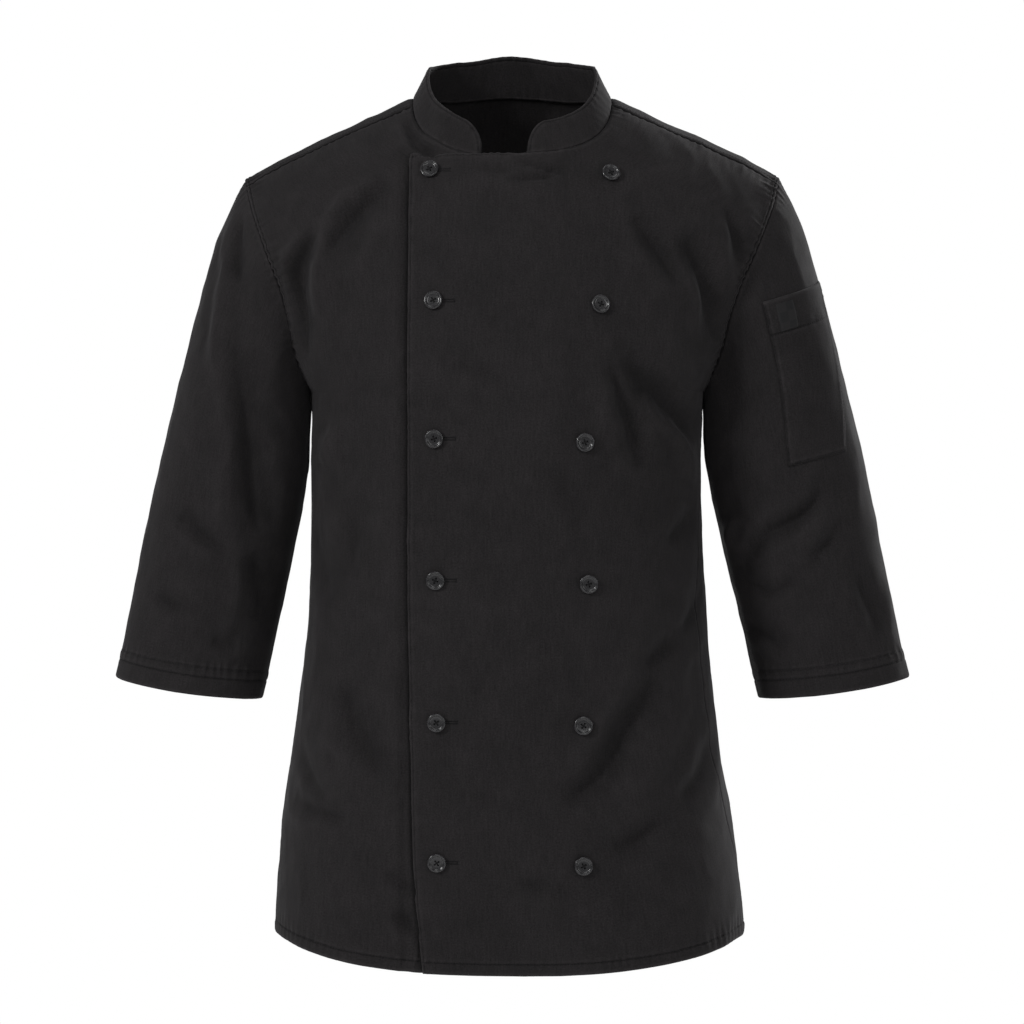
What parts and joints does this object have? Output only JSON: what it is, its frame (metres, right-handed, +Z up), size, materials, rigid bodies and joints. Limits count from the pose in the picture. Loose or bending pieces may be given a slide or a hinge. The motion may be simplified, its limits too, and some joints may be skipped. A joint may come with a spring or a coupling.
{
  "type": "chef jacket, worn shape with no wearer",
  "caption": "Double-breasted chef jacket with a stand collar, three-quarter sleeves and a sleeve pocket, filled out as worn with the hollow for the body, neck and arms left open",
  "frame": {"origin": "midway between the two neck points, at the height of the shoulder line, where the wearer's shoulders carry the jacket", "axes": "+Z up, the front faces -Y, +X is the wearer's left"},
  "size_m": [0.7014, 0.2566, 0.8051],
  "materials": {
    "cloth": "matt black poly-cotton twill",
    "label": null,
    "button": "glossy black resin"
  },
  "bodies": {
    "root": {"back": "cloth", "front_left": "cloth", "front_right": "cloth", "sleeve_left": "cloth", "sleeve_right": "cloth", "collar": "cloth", "sleeve_pocket": "cloth", "pocket_label": "label", "button_01": "button", "button_02": "button", "button_03": "button", "button_04": "button", "button_05": "button", "button_06": "button", "button_07": "button", "button_08": "button", "button_09": "button", "button_10": "button", "button_11": "button", "button_12": "button"}
  },
  "joints": []
}
